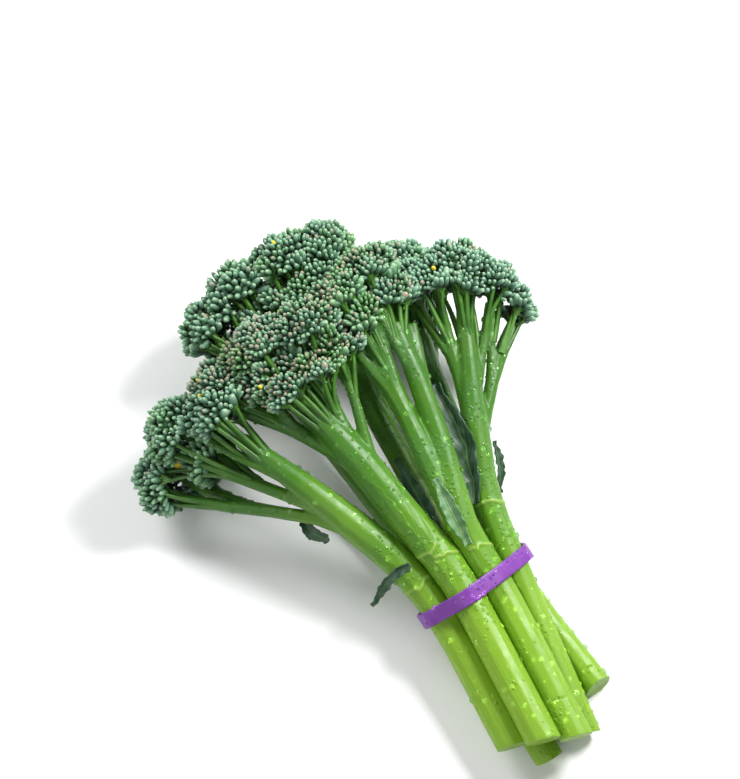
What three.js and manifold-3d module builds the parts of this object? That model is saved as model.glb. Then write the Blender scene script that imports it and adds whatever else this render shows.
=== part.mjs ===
// A bunch of broccolini lying on its side: seven spears held together by one rubber band.
// Millimetres, +Z up. The stems run along Y, with the cut ends at -Y and the bud heads at +Y.
// Every spear is a stalk that forks into branches, a head of flower buds and sometimes a leaf.
// Touching pieces keep a small gap. The origin is on the ground below the middle of the bunch.
import * as THREE from 'three';
import { mergeVertices } from 'three/addons/utils/BufferGeometryUtils.js';
import Module from 'manifold-3d';

const GAP = 0.3;
const BAND_WIDTH = 6;
const BAND_THICKNESS = 1.2;
const BAND_SWING = THREE.MathUtils.degToRad(7.5);
const BAND_LEAN = THREE.MathUtils.degToRad(20);
const BAND_MIDDLE = [0.5, 2.5, 17];
const BAND_SLACK = 0.2;
const BAND_CORNER_STEP = 0.9;
const BAND_REACH = 0.6;
const BAND_SEARCH_STEP = 0.004;
const BAND_MARGIN = 1;
const BAND_ARC_STEPS = 24;
const LEAF_THICKNESS = 1;
const TRUNK_SIDES = 12;
const TRUNK_RINGS = 15;
const BRANCH_SIDES = 8;
const BRANCH_RINGS = 5;
const FORK_SIDES = 6;
const FORK_RINGS = 3;
const FORK_LEAVES = 0.55;
const FORK_GIRTH = 0.72;
const LEAF_SIDES = 8;
const LEAF_RINGS = 10;
const DOME_DETAIL = 2;
const DOME_DEPTH = 0.82;
const DOME_UNDERSIDE = 0.55;
const BASE_FLARE = 1.2;
const TIP_TAPER = 0.7;
const BEND_OUT = 0.4;
const BEND_IN = 0.35;
const LEAF_STALK_SHARE = 0.22;
const LEAF_NARROWING = 0.25;
const FLOOR_SIZE = 600;
const FLOOR_DEPTH = 40;

const STALK_LOOK = { color: 0x86b53e, roughness: 0.35, metalness: 0 };
const HEAD_LOOK = { color: 0x4f7d52, roughness: 0.7, metalness: 0 };
const LEAF_LOOK = { color: 0x3b6446, roughness: 0.55, metalness: 0 };
const BAND_LOOK = { color: 0x8c3fb0, roughness: 0.5, metalness: 0 };

// Each spear: the stalk's middle line from the cut end to the crown as [x, y, z, radius], the
// tilt of its cut, its branches and the rounded clumps of buds of its head as [x, y, z, radius].
// A branch leaves the middle line at a share of its length; forks leave that branch in turn.
const SPEARS = [
  {
    name: 'left_low',
    line: [[-16, -58, 12.5, 6.4], [-16.5, 0, 19, 6.3], [-22, 22, 25, 6.4], [-30.5, 40, 31, 6.3],
      [-40, 59, 37, 5.2], [-54, 87, 42, 3.2]],
    slant: 0.2,
    branches: [
      { leaves: 0.52, tip: [-82, 85, 20], girth: 5.6, forks: [[-86, 92, 12], [-74, 92, 12]] },
      { leaves: 0.58, tip: [-67, 86, 32], girth: 5.6, forks: [[-78, 96, 36], [-62, 90, 24]] },
      { leaves: 0.7, tip: [-64, 90, 42], girth: 4.2, forks: [] },
    ],
    head: [[-83, 94, 20, 14], [-72, 103, 36, 14.5], [-56, 99, 46, 14], [-64, 92, 28, 13],
      [-70, 97, 11.5, 13.5]],
  },
  {
    name: 'middle_top',
    line: [[-7, -63, 21, 6.6], [-6.2, 0, 27, 6.7], [-7.5, 13, 29.5, 7.1], [-13.5, 36, 36, 6.8],
      [-18, 56, 42, 6.6], [-31, 96, 54, 3.2]],
    slant: 0.24,
    branches: [
      { leaves: 0.62, tip: [-45, 96, 46], girth: 6, forks: [[-55, 102, 44], [-40, 104, 52]] },
      { leaves: 0.66, tip: [-20, 91, 54], girth: 6.6, forks: [[-14, 102, 58], [-26, 98, 50]] },
      { leaves: 0.6, tip: [-9, 88, 54], girth: 5.2, forks: [] },
    ],
    head: [[-52, 106, 46, 14], [-33, 110, 54, 15], [-15, 108, 60, 13.5], [-7, 97, 57, 10],
      [-25, 99, 50, 12], [-38.5, 100, 50, 11], [-31, 91, 54, 10.5], [-18, 92, 58, 10]],
  },
  {
    name: 'middle_right',
    line: [[5, -66.5, 16.5, 6.3], [6.6, 0, 24.5, 6.3], [4.8, 13, 28, 6.9], [5, 24, 33, 6.4],
      [9.4, 40, 38, 5], [14.5, 70, 45.5, 4.3], [17, 98, 53, 2.8]],
    slant: 0.2,
    branches: [
      { leaves: 0.49, tip: [6, 101, 53], girth: 9, forks: [[-3, 104, 53], [11, 105, 56]] },
      { leaves: 0.7, tip: [24, 96, 50], girth: 5, forks: [[21, 104, 54]] },
      { leaves: 0.78, tip: [13, 102, 57], girth: 4.4, forks: [] },
    ],
    head: [[2, 114, 58, 13], [17, 119, 58, 13], [20, 107, 54, 11], [6, 108, 52, 11],
      [5, 102, 56, 9.5]],
  },
  {
    name: 'right_top',
    line: [[11.2, -64.5, 5.6, 5.7], [16.6, 0, 19.4, 5.8], [20, 30, 26.5, 5.8], [25.5, 47, 32, 5.8],
      [35, 70, 39, 4.4], [47, 98, 46, 2.8]],
    slant: 0.26,
    branches: [
      { leaves: 0.6, tip: [38, 99, 46], girth: 5.6, forks: [[30, 103, 44]] },
      { leaves: 0.66, tip: [56, 93, 43], girth: 4.8, forks: [] },
      { leaves: 0.56, tip: [51, 76, 36], girth: 6, forks: [[56, 90, 40], [63, 84, 35]] },
    ],
    head: [[35, 111, 46, 12], [49, 109, 50, 13], [59, 100, 45, 11.5], [64.5, 89, 38, 9.5],
      [41, 106, 49, 11], [51.5, 100, 48, 10]],
  },
  {
    name: 'right_low',
    line: [[24.5, -51.5, 5.4, 5.5], [18.3, 0, 8.1, 5.3], [23, 45, 14, 5.3], [27, 85, 22, 4.6],
      [33, 112, 30, 3]],
    slant: -0.2,
    branches: [
      { leaves: 0.76, tip: [42, 110, 20], girth: 4.6, forks: [[44, 116, 27]] },
      { leaves: 0.78, tip: [30, 109, 15], girth: 4.6, forks: [] },
      { leaves: 0.56, tip: [25, 110, 33], girth: 5.2, forks: [[31, 114, 36]] },
    ],
    head: [[33, 124, 36, 14], [44, 121, 25, 13], [31, 119, 12, 14]],
  },
  {
    name: 'left_under',
    line: [[-5.4, -66.5, 5.6, 5.7], [-9.5, 0, 9.5, 5.7], [-13, 35, 13, 5.6], [-22, 85, 20, 4.8],
      [-30, 120, 28, 3]],
    slant: 0.3,
    branches: [
      { leaves: 0.76, tip: [-38, 124, 24], girth: 4.8, forks: [[-42, 132, 30]] },
      { leaves: 0.8, tip: [-32, 121, 14], girth: 4.6, forks: [] },
      { leaves: 0.56, tip: [-18, 124, 30], girth: 5, forks: [[-25, 128, 32]] },
      { leaves: 0.78, tip: [-22, 128, 32], girth: 4.4, forks: [] },
    ],
    head: [[-40, 139, 30, 14], [-25, 145, 36, 14], [-33, 131, 12, 14], [-22, 134, 28, 12],
      [-14, 136, 33, 11.5]],
  },
  {
    name: 'centre_under',
    line: [[2.9, -42, 8.4, 4.9], [0.9, 0, 11.9, 5.1], [0, 45, 19, 5.1], [-1, 90, 27, 4.6],
      [1, 128, 35, 3]],
    slant: -0.15,
    branches: [
      { leaves: 0.76, tip: [9, 128, 37], girth: 4.4, forks: [] },
      { leaves: 0.74, tip: [-7, 130, 36], girth: 4.4, forks: [] },
      { leaves: 0.7, tip: [6, 120, 20], girth: 4.6, forks: [] },
      { leaves: 0.55, tip: [-9, 120, 34], girth: 4.8, forks: [] },
      { leaves: 0.5, tip: [12, 126, 36], girth: 4.8, forks: [] },
    ],
    head: [[-6, 145, 42, 13.5], [9, 144, 41, 13.5], [3, 134, 40, 12], [5, 133, 20, 14],
      [-9, 129, 38, 11.5]],
  },
];

// Each leaf: its middle line from the stalk to the tip, its greatest half width and the way its
// upper face looks.
const LEAVES = [
  { name: 'leaf_tall', line: [[13.4, 27, 30], [17.5, 41, 34], [20.6, 53, 38], [21.5, 73, 41]],
    halfWidth: 5.2, facing: [-0.5, -0.4, 0.8] },
  { name: 'leaf_narrow', line: [[-4.4, 16, 25.5], [-4, 30, 28], [-4, 44, 31], [-4, 56, 33]],
    halfWidth: 3.8, facing: [-0.3, -0.3, 0.9] },
  { name: 'leaf_hanging', line: [[-20, 16, 33], [-25, 16.5, 32.5], [-31, 15, 28.5], [-38, 12, 22]],
    halfWidth: 2.2, facing: [-0.3, -0.5, 0.8] },
  { name: 'leaf_clasping', line: [[2.4, 12, 36], [2, 21, 40], [2, 30, 43], [2.4, 38, 45]],
    halfWidth: 3.4, facing: [-0.2, -0.4, 0.85] },
  { name: 'leaf_outer', line: [[-41, 41, 27], [-44, 46, 24], [-45, 52, 21], [-44, 58, 19]],
    halfWidth: 3, facing: [-0.6, -0.3, 0.7] },
  { name: 'leaf_right', line: [[32.5, 46, 30], [31.5, 40, 27], [28.5, 33, 24], [26, 29, 22]],
    halfWidth: 2.2, facing: [0.6, -0.2, 0.75] },
];

const wasm = await Module();
wasm.setup();

const vector = ([x, y, z]) => new THREE.Vector3(x, y, z);

/** Turns a closed geometry into a solid that can be joined and cut. */
function solid(geometry) {
  const bare = geometry.clone();
  bare.deleteAttribute('normal');
  bare.deleteAttribute('uv');
  const merged = mergeVertices(bare, 1e-4);
  const vertProperties = new Float32Array(merged.getAttribute('position').array);
  const triVerts = new Uint32Array(merged.getIndex().array);
  return new wasm.Manifold(new wasm.Mesh({ numProp: 3, vertProperties, triVerts }));
}

/** Turns a solid back into a geometry with flat facets. */
function geometryOf(body) {
  const mesh = body.getMesh();
  const geometry = new THREE.BufferGeometry();
  geometry.setAttribute('position', new THREE.BufferAttribute(mesh.vertProperties, 3));
  geometry.setIndex(new THREE.BufferAttribute(mesh.triVerts, 1));
  geometry.computeVertexNormals();
  return geometry;
}

/**
 * Bends a cylinder along a curve. sectionAt(ring, share) gives the section's two half axes at a
 * ring; the cut at the start tilts by slant; both ends are pushed out by grow.
 */
function sweep(curve, rings, sides, sectionAt, slant = 0, grow = 0) {
  const geometry = new THREE.CylinderGeometry(1, 1, rings, sides, rings);
  const position = geometry.getAttribute('position');
  const corner = new THREE.Vector3();
  for (let i = 0; i < position.count; i += 1) {
    corner.fromBufferAttribute(position, i);
    const ring = Math.round(corner.y + rings / 2);
    const share = ring / rings;
    const { across, upward } = sectionAt(ring, share);
    const tangent = curve.getTangentAt(share);
    const place = curve.getPointAt(share);
    place.addScaledVector(across, corner.x).addScaledVector(upward, corner.z);
    if (ring === 0) {
      place.addScaledVector(tangent, slant * corner.z * upward.length() - grow);
    } else if (ring === rings) {
      place.addScaledVector(tangent, grow);
    }
    position.setXYZ(i, place.x, place.y, place.z);
  }
  return solid(geometry);
}

/** A round stem along a curve, with radiusAt giving its radius at a share of the length. */
function stem(curve, radiusAt, rings, sides, slant, grow) {
  const frames = curve.computeFrenetFrames(rings);
  const sectionAt = (ring, share) => {
    const radius = radiusAt(share) + grow;
    return {
      across: frames.binormals[ring].clone().multiplyScalar(radius),
      upward: frames.normals[ring].clone().multiplyScalar(radius),
    };
  };
  return sweep(curve, rings, sides, sectionAt, slant, grow);
}

/** The curve of a branch that leaves a parent curve smoothly and reaches a tip. */
function branchCurve(parent, leaves, tip) {
  const start = parent.getPointAt(leaves);
  const reach = start.distanceTo(tip);
  const leaving = parent.getTangentAt(leaves).multiplyScalar(reach * BEND_OUT);
  const arriving = tip.clone().sub(start).normalize().multiplyScalar(reach * BEND_IN);
  const bendOut = start.clone().add(leaving);
  const bendIn = tip.clone().sub(arriving);
  return new THREE.CubicBezierCurve3(start, bendOut, bendIn, tip);
}

const taper = (girth) => (share) => (girth / 2) * (BASE_FLARE + (TIP_TAPER - BASE_FLARE) * share);

/** The middle line of a spear's stalk. */
const stalkCurve = (spear) => new THREE.CatmullRomCurve3(spear.line.map(vector));

/** The radius of a spear's stalk at a share of its length. */
function stalkRadius(spear, curve, share) {
  const spot = curve.getUtoTmapping(share) * (spear.line.length - 1);
  const before = Math.min(Math.floor(spot), spear.line.length - 2);
  return THREE.MathUtils.lerp(spear.line[before][3], spear.line[before + 1][3], spot - before);
}

/** A whole stalk with its branches and forks, grown outwards by grow. */
function stalkSolid(spear, grow) {
  const curve = stalkCurve(spear);
  const radiusAt = (share) => stalkRadius(spear, curve, share);
  let body = stem(curve, radiusAt, TRUNK_RINGS, TRUNK_SIDES, spear.slant, grow);
  for (const branch of spear.branches) {
    const limb = branchCurve(curve, branch.leaves, vector(branch.tip));
    body = body.add(stem(limb, taper(branch.girth), BRANCH_RINGS, BRANCH_SIDES, 0, grow));
    for (const tip of branch.forks) {
      const twig = branchCurve(limb, FORK_LEAVES, vector(tip));
      body = body.add(stem(twig, taper(branch.girth * FORK_GIRTH), FORK_RINGS, FORK_SIDES, 0, grow));
    }
  }
  return body;
}

/** One rounded clump of buds that faces away from the place where the stalk forks. */
function domeSolid([x, y, z, radius], neck, grow) {
  const place = new THREE.Vector3(x, y, z);
  const facing = place.clone().sub(neck).normalize();
  const geometry = new THREE.IcosahedronGeometry(1, DOME_DETAIL);
  const position = geometry.getAttribute('position');
  for (let i = 0; i < position.count; i += 1) {
    if (position.getY(i) < 0) {
      position.setY(i, position.getY(i) * DOME_UNDERSIDE);
    }
  }
  const size = radius + grow;
  geometry.scale(size, size * DOME_DEPTH, size);
  geometry.applyQuaternion(
    new THREE.Quaternion().setFromUnitVectors(new THREE.Vector3(0, 1, 0), facing),
  );
  geometry.translate(x, y, z);
  return solid(geometry);
}

/** A whole head: its clumps of buds joined into one body. */
function headSolid(spear, grow) {
  const neck = vector(spear.line[spear.line.length - 2]);
  const domes = spear.head.map((dome) => domeSolid(dome, neck, grow));
  return domes.reduce((joined, dome) => joined.add(dome));
}

/** A leaf blade: narrow at its stalk, widest past its middle and pointed at its tip. */
function leafSolid(leaf, grow) {
  const curve = new THREE.CatmullRomCurve3(leaf.line.map(vector));
  const facing = vector(leaf.facing);
  const sectionAt = (ring, share) => {
    const tangent = curve.getTangentAt(share);
    const across = tangent.clone().cross(facing).normalize();
    const upward = across.clone().cross(tangent).normalize();
    const swell = Math.sin(Math.PI * share) * (1 - LEAF_STALK_SHARE);
    const fullness = (LEAF_STALK_SHARE + swell) * (1 - LEAF_NARROWING * share);
    return {
      across: across.multiplyScalar(leaf.halfWidth * fullness + grow),
      upward: upward.multiplyScalar(LEAF_THICKNESS / 2 + grow),
    };
  };
  return sweep(curve, LEAF_RINGS, LEAF_SIDES, sectionAt, 0, grow);
}

/** The corners of the convex outline around flat points, anticlockwise. */
function outline(points) {
  const sorted = [...points].sort((a, b) => a.x - b.x || a.y - b.y);
  const turn = (o, a, b) => (a.x - o.x) * (b.y - o.y) - (a.y - o.y) * (b.x - o.x);
  const half = (row) => {
    const chain = [];
    for (const point of row) {
      while (chain.length > 1 && turn(chain.at(-2), chain.at(-1), point) <= 0) {
        chain.pop();
      }
      chain.push(point);
    }
    return chain.slice(0, -1);
  };
  return [...half(sorted), ...half(sorted.reverse())];
}

/** Drops outline corners that are close to the one before. */
function thin(corners) {
  const kept = [corners[0]];
  for (const corner of corners) {
    if (corner.distanceTo(kept.at(-1)) > BAND_CORNER_STEP) {
      kept.push(corner);
    }
  }
  return kept;
}

/** The outline around all stems where the band crosses them, grown outwards by grow. */
function bandOutline(flatten, grow) {
  const corners = [];
  for (const spear of SPEARS) {
    const curve = stalkCurve(spear);
    for (let share = 0; share < BAND_REACH; share += BAND_SEARCH_STEP) {
      const centre = curve.getPointAt(share).applyMatrix4(flatten);
      const radius = stalkRadius(spear, curve, share) + grow;
      if (Math.abs(centre.z) < BAND_WIDTH / 2 + BAND_MARGIN) {
        const round = new THREE.EllipseCurve(centre.x, centre.y, radius, radius);
        corners.push(...round.getPoints(BAND_ARC_STEPS));
      }
    }
  }
  return thin(outline(corners));
}

/** The rubber band: a flat loop stretched around the stems, askew across the bunch. */
function bandSolid() {
  const turn = new THREE.Euler(Math.PI / 2 + BAND_LEAN, 0, BAND_SWING, 'ZYX');
  const placement = new THREE.Matrix4().makeRotationFromEuler(turn);
  placement.setPosition(vector(BAND_MIDDLE));
  const flatten = placement.clone().invert();
  const shape = new THREE.Shape(bandOutline(flatten, GAP + BAND_SLACK + BAND_THICKNESS));
  shape.holes.push(new THREE.Path(bandOutline(flatten, GAP + BAND_SLACK)));
  const geometry = new THREE.ExtrudeGeometry(shape, {
    depth: BAND_WIDTH, steps: 1, bevelEnabled: false,
  });
  geometry.translate(0, 0, -BAND_WIDTH / 2);
  geometry.applyMatrix4(placement);
  return solid(geometry);
}

/** The largest separate body of a solid, so that no crumbs stay behind a cut. */
function mainBody(body) {
  const bodies = body.decompose();
  return bodies.reduce((best, one) => (one.volume() > best.volume() ? one : best));
}

/** The ground below the bunch: stems and heads that press on it are slightly flattened. */
function ground() {
  const geometry = new THREE.BoxGeometry(FLOOR_SIZE, FLOOR_SIZE, FLOOR_DEPTH);
  geometry.translate(0, 0, -FLOOR_DEPTH / 2);
  return solid(geometry);
}

const bunch = new THREE.Group();
const placed = [ground()];

/** Cuts a piece clear of the pieces already placed, then adds it to the bunch. */
function place(name, body, swollen, look) {
  let rest = body;
  for (const other of placed) {
    rest = rest.subtract(other);
  }
  const mesh = new THREE.Mesh(geometryOf(mainBody(rest)), new THREE.MeshStandardMaterial(look));
  mesh.name = name;
  bunch.add(mesh);
  placed.push(swollen);
}

for (const spear of SPEARS) {
  place(`stalk_${spear.name}`, stalkSolid(spear, 0), stalkSolid(spear, GAP), STALK_LOOK);
}
place('rubber_band', bandSolid(), bandSolid(), BAND_LOOK);
for (const leaf of LEAVES) {
  place(leaf.name, leafSolid(leaf, 0), leafSolid(leaf, GAP), LEAF_LOOK);
}
for (const spear of SPEARS) {
  place(`head_${spear.name}`, headSolid(spear, 0), headSolid(spear, GAP), HEAD_LOOK);
}

const extent = new THREE.Box3().setFromObject(bunch);
const middle = extent.getCenter(new THREE.Vector3());
bunch.position.set(-middle.x, -middle.y, -extent.min.z);

export default bunch;
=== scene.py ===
"""Looks for a bunch of broccolini that lies on its side, held by one rubber band.

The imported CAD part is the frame: every stalk, head, leaf and band piece below is grown on the
CAD node that it stands for, so nothing is placed by hand.
"""

import heapq
import logging
import math
from dataclasses import dataclass, field
from enum import Enum

import bmesh
import bpy
import numpy as np
from mathutils import Matrix, Vector
from mathutils.bvhtree import BVHTree
from mathutils.kdtree import KDTree


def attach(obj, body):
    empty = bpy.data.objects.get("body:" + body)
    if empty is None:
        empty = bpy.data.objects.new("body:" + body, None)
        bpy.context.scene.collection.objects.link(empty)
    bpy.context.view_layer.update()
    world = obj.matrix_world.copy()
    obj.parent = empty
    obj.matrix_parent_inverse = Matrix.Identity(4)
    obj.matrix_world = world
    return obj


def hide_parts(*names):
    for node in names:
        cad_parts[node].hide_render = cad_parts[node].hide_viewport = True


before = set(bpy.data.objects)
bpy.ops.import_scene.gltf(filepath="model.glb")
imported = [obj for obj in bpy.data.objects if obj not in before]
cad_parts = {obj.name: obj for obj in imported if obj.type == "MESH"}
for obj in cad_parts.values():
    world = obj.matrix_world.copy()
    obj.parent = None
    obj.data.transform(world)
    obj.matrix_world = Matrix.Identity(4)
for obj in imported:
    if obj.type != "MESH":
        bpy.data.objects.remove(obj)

LOG = logging.getLogger("broccolini")
MM = 0.001
Colour = tuple[float, float, float, float]


class Slot(Enum):
    """The record's material slots."""

    STEM = "stem"
    CUT = "cut_face"
    BUD = "bud"
    LEAF = "leaf"
    BAND = "band"
    WATER = "water"


# ---------------------------------------------------------------- materials


def shade(red: float, green: float, blue: float) -> Colour:
    """A colour with full cover."""
    return (red, green, blue, 1.0)


class Recipe:
    """One procedural material, mixed step by step."""

    def __init__(self, name: str) -> None:
        """Starts an empty material.

        Args:
            name: The material's name.
        """
        self.material = bpy.data.materials.new(name)
        self.material.use_nodes = True
        self.tree = self.material.node_tree
        self.tree.nodes.clear()
        self.surface = self.add("ShaderNodeBsdfPrincipled")
        self.output = self.add("ShaderNodeOutputMaterial")
        self.feed(self.output.inputs[0], self.surface.outputs[0])
        self.place = self.add("ShaderNodeTexCoord").outputs["Object"]

    def add(self, kind: str, **settings: object) -> bpy.types.Node:
        """Adds a node and sets its plain properties."""
        node = self.tree.nodes.new(kind)
        for key, value in settings.items():
            setattr(node, key, value)
        return node

    def feed(self, socket: bpy.types.NodeSocket, value: object) -> None:
        """Links a socket to a value's socket, or sets it to a plain value."""
        if isinstance(value, bpy.types.NodeSocket):
            self.tree.links.new(value, socket)
        else:
            socket.default_value = value

    def set(self, **values: object) -> None:
        """Feeds the surface shader's sockets, with underscores for spaces in their names."""
        for key, value in values.items():
            self.feed(self.surface.inputs[key.replace("_", " ")], value)

    def attribute(self, name: str) -> tuple[bpy.types.NodeSocket, ...]:
        """The three parts of a colour attribute of the piece."""
        source = self.add("ShaderNodeAttribute", attribute_name=name)
        parts = self.add("ShaderNodeSeparateColor")
        self.feed(parts.inputs[0], source.outputs["Color"])
        return tuple(parts.outputs[:3])

    def point(self, x: object, y: object, z: object) -> bpy.types.NodeSocket:
        """A vector from three numbers or sockets."""
        node = self.add("ShaderNodeCombineXYZ")
        for socket, value in zip(node.inputs, (x, y, z), strict=True):
            self.feed(socket, value)
        return node.outputs[0]

    def noise(self, scale: float, detail: float = 2.0, at: object = None) -> bpy.types.NodeSocket:
        """Cloudy noise from 0 to 1.

        Args:
            scale: Cells per metre.
            detail: How many finer layers it has.
            at: The vector it is read at, or None for the object's own coordinates.

        Returns:
            The noise value's socket.
        """
        node = self.add("ShaderNodeTexNoise")
        self.feed(node.inputs["Vector"], self.place if at is None else at)
        self.feed(node.inputs["Scale"], scale)
        self.feed(node.inputs["Detail"], detail)
        return node.outputs[0]

    def spots(self, scale: float) -> bpy.types.NodeSocket:
        """Distance to the nearest of many scattered points."""
        node = self.add("ShaderNodeTexVoronoi")
        self.feed(node.inputs["Vector"], self.place)
        self.feed(node.inputs["Scale"], scale)
        return node.outputs["Distance"]

    def dew(self, per_metre: float, patch: object) -> bpy.types.NodeSocket:
        """Fine round beads, 1 at their crowns and 0 between them, in some places only."""
        bead = self.span(self.spots(per_metre), 0.1, 0.34, 1.0, 0.0)
        return self.calc("MULTIPLY", bead, self.span(patch, 0.48, 0.58))

    def calc(self, operation: str, *values: object) -> bpy.types.NodeSocket:
        """One arithmetic step, such as MULTIPLY or ADD."""
        node = self.add("ShaderNodeMath", operation=operation)
        for socket, value in zip(node.inputs, values, strict=False):
            self.feed(socket, value)
        return node.outputs[0]

    def span(self, value: object, low: float, high: float, a: float = 0.0, b: float = 1.0) -> object:
        """Maps low..high to a..b, held at both ends."""
        node = self.add("ShaderNodeMapRange")
        for socket, given in zip(node.inputs, (value, low, high, a, b), strict=False):
            self.feed(socket, given)
        return node.outputs[0]

    def mix(self, share: object, low: object, high: object, how: str = "MIX") -> object:
        """Mixes two colours by a share."""
        node = self.add("ShaderNodeMix", data_type="RGBA", blend_type=how)
        for socket, value in zip((node.inputs[0], node.inputs[6], node.inputs[7]), (share, low, high), strict=True):
            self.feed(socket, value)
        return node.outputs[2]

    def ramp(self, share: object, *stops: tuple[float, Colour]) -> bpy.types.NodeSocket:
        """A colour ramp through the given stops."""
        node = self.add("ShaderNodeValToRGB")
        self.feed(node.inputs[0], share)
        row = node.color_ramp.elements
        while len(row) < len(stops):
            row.new(1.0)
        for element, (spot, colour) in zip(row, stops, strict=True):
            element.position = spot
            element.color = colour
        return node.outputs[0]

    def bump(self, height: object, depth: float, strength: float = 1.0) -> None:
        """Raises the surface by a height pattern, depth in metres."""
        node = self.add("ShaderNodeBump")
        self.feed(node.inputs["Strength"], strength)
        self.feed(node.inputs["Distance"], depth)
        self.feed(node.inputs["Height"], height)
        self.feed(self.surface.inputs["Normal"], node.outputs[0])


@dataclass(frozen=True)
class StalkFinish:
    """Waxy green skin: pale and yellow-green near the cut, deep green by the buds."""

    foot: Colour = shade(0.205, 0.385, 0.018)
    middle: Colour = shade(0.115, 0.285, 0.010)
    neck: Colour = shade(0.052, 0.180, 0.006)
    branch: Colour = shade(0.036, 0.128, 0.007)
    bloom: Colour = shade(0.11, 0.26, 0.09)
    ridge: Colour = shade(0.34, 0.50, 0.10)
    streaks_per_metre: float = 620.0
    ribs_per_metre: float = 240.0

    def make(self) -> bpy.types.Material:
        """The skin's material."""
        mix = Recipe("stalk_skin")
        along, side, depth = mix.attribute("growth")
        lane = mix.point(mix.calc("MULTIPLY", side, 0.03), mix.calc("MULTIPLY", depth, 0.03), mix.calc("MULTIPLY", along, 0.006))
        streak = mix.noise(self.streaks_per_metre, 3.0, lane)
        patch = mix.noise(55.0, 3.0)
        dew = mix.dew(480.0, patch)
        fade = mix.calc("ADD", along, mix.span(patch, 0.3, 0.7, -0.05, 0.05))
        base = mix.ramp(
            fade, (0.0, self.foot), (0.24, self.foot), (0.42, self.middle), (0.62, self.neck), (0.9, self.branch)
        )
        lit = mix.mix(mix.span(streak, 0.5, 0.78, 0.0, 0.2), base, shade(0.32, 0.52, 0.06))
        deep = mix.mix(mix.span(streak, 0.46, 0.26, 0.0, 0.3), lit, shade(0.035, 0.14, 0.006))
        waxy = mix.calc("MULTIPLY", mix.span(along, 0.3, 0.8, 0.0, 0.3), mix.span(patch, 0.45, 0.7))
        pale, nick, _ = mix.attribute("scar")
        scarred = mix.mix(mix.span(pale, 0.1, 0.9, 0.0, 0.6), mix.mix(waxy, deep, self.bloom), self.ridge)
        mix.set(
            Base_Color=mix.mix(mix.span(nick, 0.3, 0.8, 0.0, 0.8), scarred, self.neck),
            Roughness=mix.calc("SUBTRACT", mix.span(mix.noise(240.0), 0.3, 0.7, 0.34, 0.52), mix.calc("MULTIPLY", dew, 0.25)),
            Specular_IOR_Level=0.38,
            Subsurface_Weight=0.09,
            Subsurface_Radius=(0.5, 1.0, 0.2),
            Subsurface_Scale=0.0015,
        )
        rib = mix.calc("MULTIPLY", mix.noise(self.ribs_per_metre, 1.0, lane), mix.span(along, 0.25, 0.5, 0.0, 3.0))
        relief = mix.calc("ADD", mix.calc("ADD", mix.calc("MULTIPLY", streak, 0.5), rib), mix.calc("MULTIPLY", dew, 2.0))
        mix.bump(relief, 0.00028, 0.6)
        return mix.material


@dataclass(frozen=True)
class CutFinish:
    """Moist pith of a cut end, with a green rim and small fibres."""

    rim: Colour = shade(0.24, 0.44, 0.05)
    ring: Colour = shade(0.42, 0.60, 0.16)
    pith: Colour = shade(0.54, 0.68, 0.30)

    def make(self) -> bpy.types.Material:
        """The cut face's material."""
        mix = Recipe("cut_pith")
        inward = mix.attribute("growth")[0]
        grain = mix.noise(1400.0, 3.0)
        base = mix.ramp(inward, (0.0, self.rim), (0.14, self.ring), (0.3, self.pith), (1.0, self.pith))
        mix.set(
            Base_Color=mix.mix(mix.span(grain, 0.4, 0.75, 0.0, 0.5), base, self.ring),
            Roughness=mix.span(grain, 0.3, 0.7, 0.3, 0.55),
            Subsurface_Weight=0.2,
            Subsurface_Radius=(0.6, 1.0, 0.3),
            Subsurface_Scale=0.002,
        )
        mix.bump(grain, 0.0004, 0.7)
        return mix.material


@dataclass(frozen=True)
class BudFinish:
    """Tight flower buds: blue-green with a dull bloom, darker at the base as painted shade between the crowded buds,
    pale tips partly a painted highlight, some purple-tipped.
    """

    # Painted shade: near black, for the shade at the buds' bases between the crowded buds.
    base: Colour = shade(0.006, 0.028, 0.010)
    body: Colour = shade(0.066, 0.215, 0.078)
    bloom: Colour = shade(0.225, 0.42, 0.31)
    # Pale tip: partly the buds' own paler tips, partly a painted highlight.
    tip: Colour = shade(0.50, 0.64, 0.42)
    blush: Colour = shade(0.42, 0.29, 0.21)
    fresh: Colour = shade(0.12, 0.34, 0.035)
    petal: Colour = shade(0.80, 0.62, 0.03)

    def make(self) -> bpy.types.Material:
        """The buds' material."""
        mix = Recipe("bud_bloom")
        height, own, group = mix.attribute("bud")
        fleck = mix.noise(1300.0, 2.0)
        body = mix.mix(mix.span(own, 0.0, 1.0, 0.0, 0.7), self.body, self.bloom)
        body = mix.mix(mix.span(group, 0.45, 1.0, 0.0, 0.6), body, self.fresh)
        # Painted shade: each bud darkens towards its base, where the buds shade each other.
        base = mix.mix(mix.span(height, 0.2, 0.85), self.base, body)
        dusty = mix.calc("MULTIPLY", mix.span(fleck, 0.4, 0.7), mix.span(height, 0.45, 0.9, 0.0, 0.4))
        base = mix.mix(dusty, base, self.bloom)
        # Pale tips: partly the buds' own colour, partly a painted highlight.
        tipped = mix.mix(mix.span(height, 0.8, 1.0, 0.0, 0.6), base, self.tip)
        rosy = mix.calc("MULTIPLY", mix.span(own, 1.2, 1.4, 0.0, 0.85), mix.span(height, 0.6, 0.95))
        yellow = mix.calc("MULTIPLY", mix.span(own, 2.4, 2.6), mix.span(height, 0.45, 0.6))
        mix.set(
            Base_Color=mix.mix(yellow, mix.mix(rosy, tipped, self.blush), self.petal),
            Roughness=mix.span(fleck, 0.3, 0.7, 0.42, 0.66),
            Subsurface_Weight=0.1,
            Subsurface_Radius=(0.4, 1.0, 0.3),
            Subsurface_Scale=0.0008,
        )
        mix.bump(fleck, 0.00012, 0.5)
        return mix.material


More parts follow.
